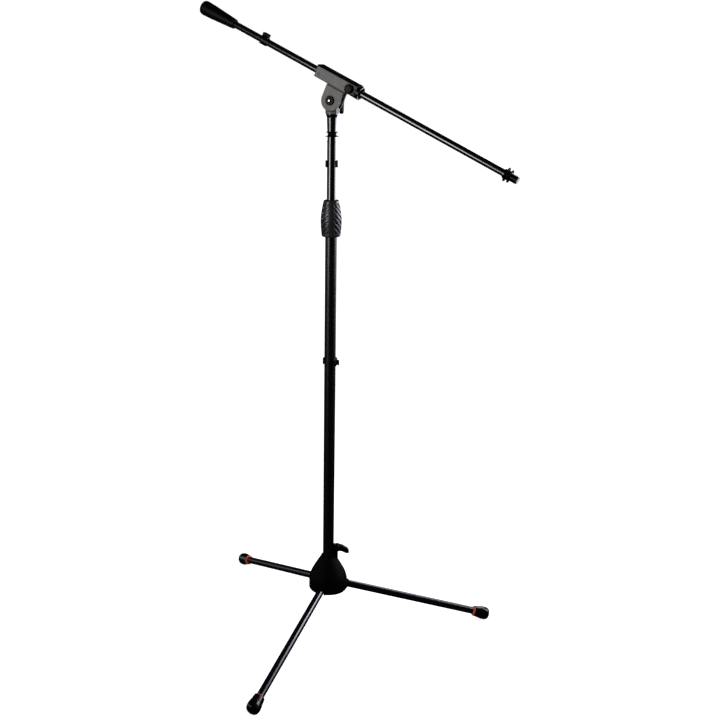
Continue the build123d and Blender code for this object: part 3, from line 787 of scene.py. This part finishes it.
def arc_band(centre, radius, wall, low, high, start, end):
    """A strap bent round a centre between two angles, with rounded edges and ends."""
    steps = 48
    end_steps = 3
    rings = []
    half_wall = wall / 2
    half_height = (high - low) / 2
    for k in range(-end_steps, steps + end_steps + 1):
        t = min(1.0, max(0.0, k / steps))
        past = max(-k, k - steps, 0) / end_steps
        angle = start + (end - start) * t
        overrun = math.copysign(half_wall * 0.95 * math.sin(past * math.pi / 2), k)
        thin = max(0.12, math.cos(past * math.pi / 2))
        outward = Vector((math.cos(angle), math.sin(angle), 0))
        along = Vector((-math.sin(angle), math.cos(angle), 0))
        middle = Vector(centre) + outward * radius + along * overrun
        middle.z = (low + high) / 2
        short = half_height - half_wall * (1 - thin)
        rings.append(oval(middle, outward, (0, 0, 1), half_wall * thin, short, 7.0, 36))
    return loft(rings)


def cable_clip(name, node, place, tube_radius, opening, hook_azimuth):
    """Snap clip: a C round the tube, and a smaller C that holds the cable."""
    low, high = span(node, place)
    hook_wall = 1.9 * MM
    grip_wall = 3.4 * MM
    hook_radius = 4.0 * MM
    if node == "boom_cable_clip":
        grip_wall = 2.3 * MM
        hook_radius = 3.0 * MM
    bore_radius = tube_radius + RUNNING_GAP
    ring = bore_radius + grip_wall / 2
    gap = math.asin(0.86)
    opening = math.radians(opening)
    hook_azimuth = math.radians(hook_azimuth)
    grip_ends = (opening + gap, opening - gap + 2 * math.pi)
    grip = arc_band((0, 0, 0), ring, grip_wall, low.z, high.z, *grip_ends)
    reach = ring + grip_wall / 2 + 0.15 * MM + hook_radius
    centre = (reach * math.cos(hook_azimuth), reach * math.sin(hook_azimuth), 0)
    mouth = math.asin(0.80)
    hook_ring = hook_radius + hook_wall / 2
    inset = 1.0 * MM
    hook_ends = (hook_azimuth + mouth, hook_azimuth - mouth + 2 * math.pi)
    hook = arc_band(centre, hook_ring, hook_wall, low.z + inset, high.z - inset, *hook_ends)
    bore = lathe([(0, low.z - MM), (bore_radius, low.z - MM),
                  (bore_radius, high.z + MM), (0, high.z + MM)], 96)
    mesh = merge(merge(grip, hook), bore, "DIFFERENCE")
    return finish_piece(new_piece(name, mesh, place, 40), node)


def tilt_handle():
    """T-handle: a ribbed hub on the pivot bolt and a waisted wing across its end."""
    node = "tilt_handle"
    low, high = span(node, PIVOT)
    hub_low = low.y
    length = high.z - low.z
    depth = 9.6 * MM
    wing_y = high.y - depth / 2
    hub_radius = 7.6 * MM
    hub = [
        (0, hub_low + 2 * MM),
        (6.2 * MM, hub_low + 2 * MM),
        (6.2 * MM, hub_low),
        (hub_radius, hub_low),
        (hub_radius, hub_low + 3 * MM),
        (hub_radius - 1.6 * MM, hub_low + 8 * MM),
        (hub_radius - 2.4 * MM, wing_y),
        (0, wing_y),
    ]

    def ribs(angle, radius, height):
        if radius < 4.5 * MM or height < hub_low + 3.5 * MM:
            return 0.0
        return -0.5 * MM * (0.5 + 0.5 * math.cos(12 * angle))

    turned = lathe(rounded(hub, 0.7 * MM, 3), 144, wave=ribs)
    turned.transform(Matrix.Rotation(math.radians(-90), 4, "X"))
    rings = []
    count = 36
    half = length / 2
    tip = 0.25 * MM
    for k in range(count + 1):
        t = -1 + 2 * k / count
        end = math.sqrt(max(0.0, 1 - abs(t) ** 9))
        flare = 2.6 if t < 0 else 1.0
        width = (2.9 + flare * t * t) * MM
        deep = depth / 2 - 0.5 * MM * (1 - t * t)
        centre = (0, wing_y, half * t * 0.995)
        size = (max(tip, width * end), max(tip, deep * end))
        rings.append(oval(centre, (1, 0, 0), (0, 1, 0), *size, 3.2, 40))
    wing = loft(rings)
    lean = math.radians(6)
    wing.transform(Matrix.Rotation(lean, 4, "Y"))
    return finish_piece(new_piece("tilt_handle_moulded", merge(turned, wing), PIVOT, 45), node)


def base_lever():
    """Clamp lever: a ribbed hub, and a rounded wing that bends out and down."""
    node = "base_lever"
    low, high = span(node, LEVER)
    root = low.z
    reach = high.z - root
    # Share of the reach, then the wing's upper and lower face in millimetres below the hub's axis
    stations = [(0.0, -9.4, 8.2), (0.22, -9.0, 8.2), (0.44, -7.4, 8.8), (0.56, -5.4, 10.4), (0.68, -2.9, 12.4),
                (0.80, -0.8, 13.7), (0.91, 1.4, 14.1), (0.97, 4.2, 13.6), (1.0, 7.4, 12.2)]
    sections = []
    steps = 6
    for before, after in zip(stations, stations[1:]):
        for k in range(steps):
            sections.append([a + (b - a) * k / steps for a, b in zip(before, after)])
    sections.append(stations[-1])
    layers = []
    for z, over, under in sections:
        broad = 6.0 * MM * math.sqrt(max(0.2, 1 - (max(0.0, z - 0.86) / 0.155) ** 2))
        centre = ((over + under) / 2 * MM, 0, root + z * reach)
        layers.append(oval(centre, (1, 0, 0), (0, 1, 0), (under - over) / 2 * MM, broad, 3.2, 48))
    wing = loft(layers)
    hub_radius = 10.0 * MM
    hub_top = root + 8.8 * MM
    hub = [
        (0, root + 0.2 * MM),
        (hub_radius - 0.6 * MM, root + 0.2 * MM),
        (hub_radius, root + 1.2 * MM),
        (hub_radius, hub_top - 2 * MM),
        (hub_radius - 2 * MM, hub_top),
        (0, hub_top),
    ]

    def ribs(angle, radius, height):
        if radius < hub_radius - 0.8 * MM:
            return 0.0
        return -0.35 * MM * (0.5 + 0.5 * math.cos(24 * angle))

    turned = lathe(rounded(hub, 1.2 * MM, 4), 192, wave=ribs)
    return finish_piece(new_piece("base_lever_moulded", merge(turned, wing), LEVER, 45), node)


def lock_knob():
    """Small lobed knob of the boom lock, with a shallow dished face."""
    node = "boom_lock_knob"
    joint = JOINTS["boom_lock_turn"]
    place = joint_frame(joint["pos_m"], joint["axis"], (0, 0, 1))
    low, high = span(node, place)
    radius = 9.2 * MM
    outline = [
        (0, low.z),
        (radius - 0.8 * MM, low.z),
        (radius, low.z + 1.0 * MM),
        (radius, high.z - 1.1 * MM),
        (radius - 1.4 * MM, high.z),
        (radius - 2.6 * MM, high.z - 0.1 * MM),
        (radius - 3.4 * MM, high.z - 0.7 * MM),
        (0, high.z - 0.7 * MM),
    ]

    def lobes(angle, here, height):
        if here < radius - 1.5 * MM:
            return 0.0
        return -0.55 * MM * (0.5 - 0.5 * math.cos(8 * angle))

    mesh = lathe(rounded(outline, 0.6 * MM, 4), 192, wave=lobes)
    return finish_piece(new_piece("lock_knob_lobed", mesh, place, 45), node)


# ---------------------------------------------------------------- stage

def stage_material():
    """Pale floor that glows more with distance, so that it meets the white backdrop."""
    floor = Surface("studio_floor", (0.90, 0.90, 0.90), 0.85, specular=0.1)
    floor.tint(floor.noise(3, 3), (0.92, 0.92, 0.92), 0.5)
    floor.emboss(floor.noise(300, 2), 1e-5)
    length = floor.tree.nodes.new("ShaderNodeVectorMath")
    length.operation = "LENGTH"
    floor.tree.links.new(floor.place, length.inputs[0])
    far = floor.ramp(length.outputs["Value"], 0.2, 2.5)
    glow = floor.maths("ADD", floor.maths("MULTIPLY", far, 0.25), 0.80)
    floor.shader.inputs["Emission Color"].default_value = (1, 1, 1, 1)
    floor.tree.links.new(glow, floor.shader.inputs["Emission Strength"])
    return floor.done()


def studio_floor():
    """A wide pale floor, left out of reflections so that the undersides stay dark."""
    half_width = 30.0
    mesh = bmesh.new()
    bmesh.ops.create_grid(mesh, x_segments=24, y_segments=24, size=half_width)
    data = bpy.data.meshes.new("studio_floor")
    mesh.to_mesh(data)
    mesh.free()
    floor = bpy.data.objects.new("studio_floor", data)
    bpy.context.scene.collection.objects.link(floor)
    floor.data.materials.append(stage_material())
    floor.visible_glossy = False
    floor.visible_diffuse = False


def softbox(name, place, target, size, power, spread=180, colour=(1, 1, 1)):
    """An area light; a spread in degrees below 180 keeps its light in a beam."""
    light = bpy.data.lights.new(name, "AREA")
    light.shape = "RECTANGLE"
    light.size, light.size_y = size
    light.energy = power
    light.spread = math.radians(spread)
    light.color = colour
    box = bpy.data.objects.new(name, light)
    bpy.context.scene.collection.objects.link(box)
    box.location = place
    box.rotation_euler = (Vector(target) - Vector(place)).to_track_quat("-Z", "Y").to_euler()
    box.visible_camera = False
    return box


def from_camera(right, forward, up):
    """A point given as distances to the camera's right, ahead of it past the mast, and up."""
    heading = math.radians(CAMERA_HEADING)
    across = Vector((math.cos(heading), math.sin(heading), 0))
    ahead = Vector((-math.sin(heading), math.cos(heading), 0))
    return across * right + ahead * forward + Vector((0, 0, up))


def studio_lights():
    """A key at the left, a wide cool softbox and a rim light at the right, and three for the legs."""
    head = (0, 0, 1.15)
    cool = (0.86, 0.92, 1.0)
    softbox("key_left", from_camera(-2.0, -1.5, 1.15), head, (0.8, 1.3), 3.8, 60)
    softbox("side_right", from_camera(1.95, 0.35, 1.3), head, (1.7, 1.3), 8.9, 76, cool)
    softbox("rim_right", from_camera(1.35, 1.5, 0.9), head, (1.1, 1.4), 1.1, 60, cool)
    softbox("over_legs", from_camera(0.75, 0.95, 1.05), (0, 0, 0), (0.8, 0.6), 4.5, 140, cool)
    softbox("leg_glint", from_camera(1.94, 0.32, 1.77), (0.02, -0.19, 0.06), (0.3, 0.8), 1.5, 60, cool)
    softbox("leg_fill", from_camera(-1.9, 0.7, 0.5), (-0.2, 0.08, 0.06), (1.9, 1.4), 0.95, 50, cool)


def studio_world():
    """White for the camera, dim for everything else, so gloss reflects only the softboxes."""
    world = bpy.data.worlds.new("studio")
    bpy.context.scene.world = world
    world.use_nodes = True
    tree = world.node_tree
    tree.nodes.clear()
    path = tree.nodes.new("ShaderNodeLightPath")
    seen, lit, dark = [tree.nodes.new("ShaderNodeBackground") for _ in range(3)]
    for background, strength in ((seen, 1.05), (lit, 0.22), (dark, 0.01)):
        background.inputs["Color"].default_value = (1, 1, 1, 1)
        background.inputs["Strength"].default_value = strength
    gloss = tree.nodes.new("ShaderNodeMixShader")
    mix = tree.nodes.new("ShaderNodeMixShader")
    out = tree.nodes.new("ShaderNodeOutputWorld")
    tree.links.new(path.outputs["Is Glossy Ray"], gloss.inputs[0])
    tree.links.new(lit.outputs[0], gloss.inputs[1])
    tree.links.new(dark.outputs[0], gloss.inputs[2])
    tree.links.new(path.outputs["Is Camera Ray"], mix.inputs[0])
    tree.links.new(gloss.outputs[0], mix.inputs[1])
    tree.links.new(seen.outputs[0], mix.inputs[2])
    tree.links.new(mix.outputs[0], out.inputs[0])


def studio_camera():
    """The camera, with a lens shift that sets the stand left of the frame's middle."""
    camera = bpy.data.cameras.new("camera")
    camera.lens = CAMERA_LENS
    camera.sensor_width = 36.0
    camera.shift_x, camera.shift_y = CAMERA_SHIFT
    camera.clip_end = 50
    thing = bpy.data.objects.new("camera", camera)
    bpy.context.scene.collection.objects.link(thing)
    thing.location = CAMERA_PLACE
    thing.rotation_euler = (math.radians(90 - CAMERA_PITCH), 0, math.radians(CAMERA_HEADING))
    bpy.context.scene.camera = thing


paint_cad_nodes()
clutch_grip()
for side in SIDES:
    foot(side)
    trim_ring(side)
counterweight()
boom_tip()
lock_ring("tip_ring_knurled", "tip_lock_ring", BOOM)
lock_ring("stud_ring_knurled", "stud_lock_ring", MAST)
lock_knob()
tilt_handle()
base_lever()
cable_clip("lower_cable_clip_moulded", "lower_cable_clip", MAST, LOWER_TUBE_RADIUS, 274, 345)
cable_clip("upper_cable_clip_moulded", "upper_cable_clip", MAST, UPPER_TUBE_RADIUS, 300, 100)
cable_clip("boom_cable_clip_moulded", "boom_cable_clip", BOOM, BOOM_RADIUS, 275, 175)

studio_floor()
studio_lights()
studio_world()
studio_camera()
bpy.context.scene.view_settings.view_transform = "Standard"
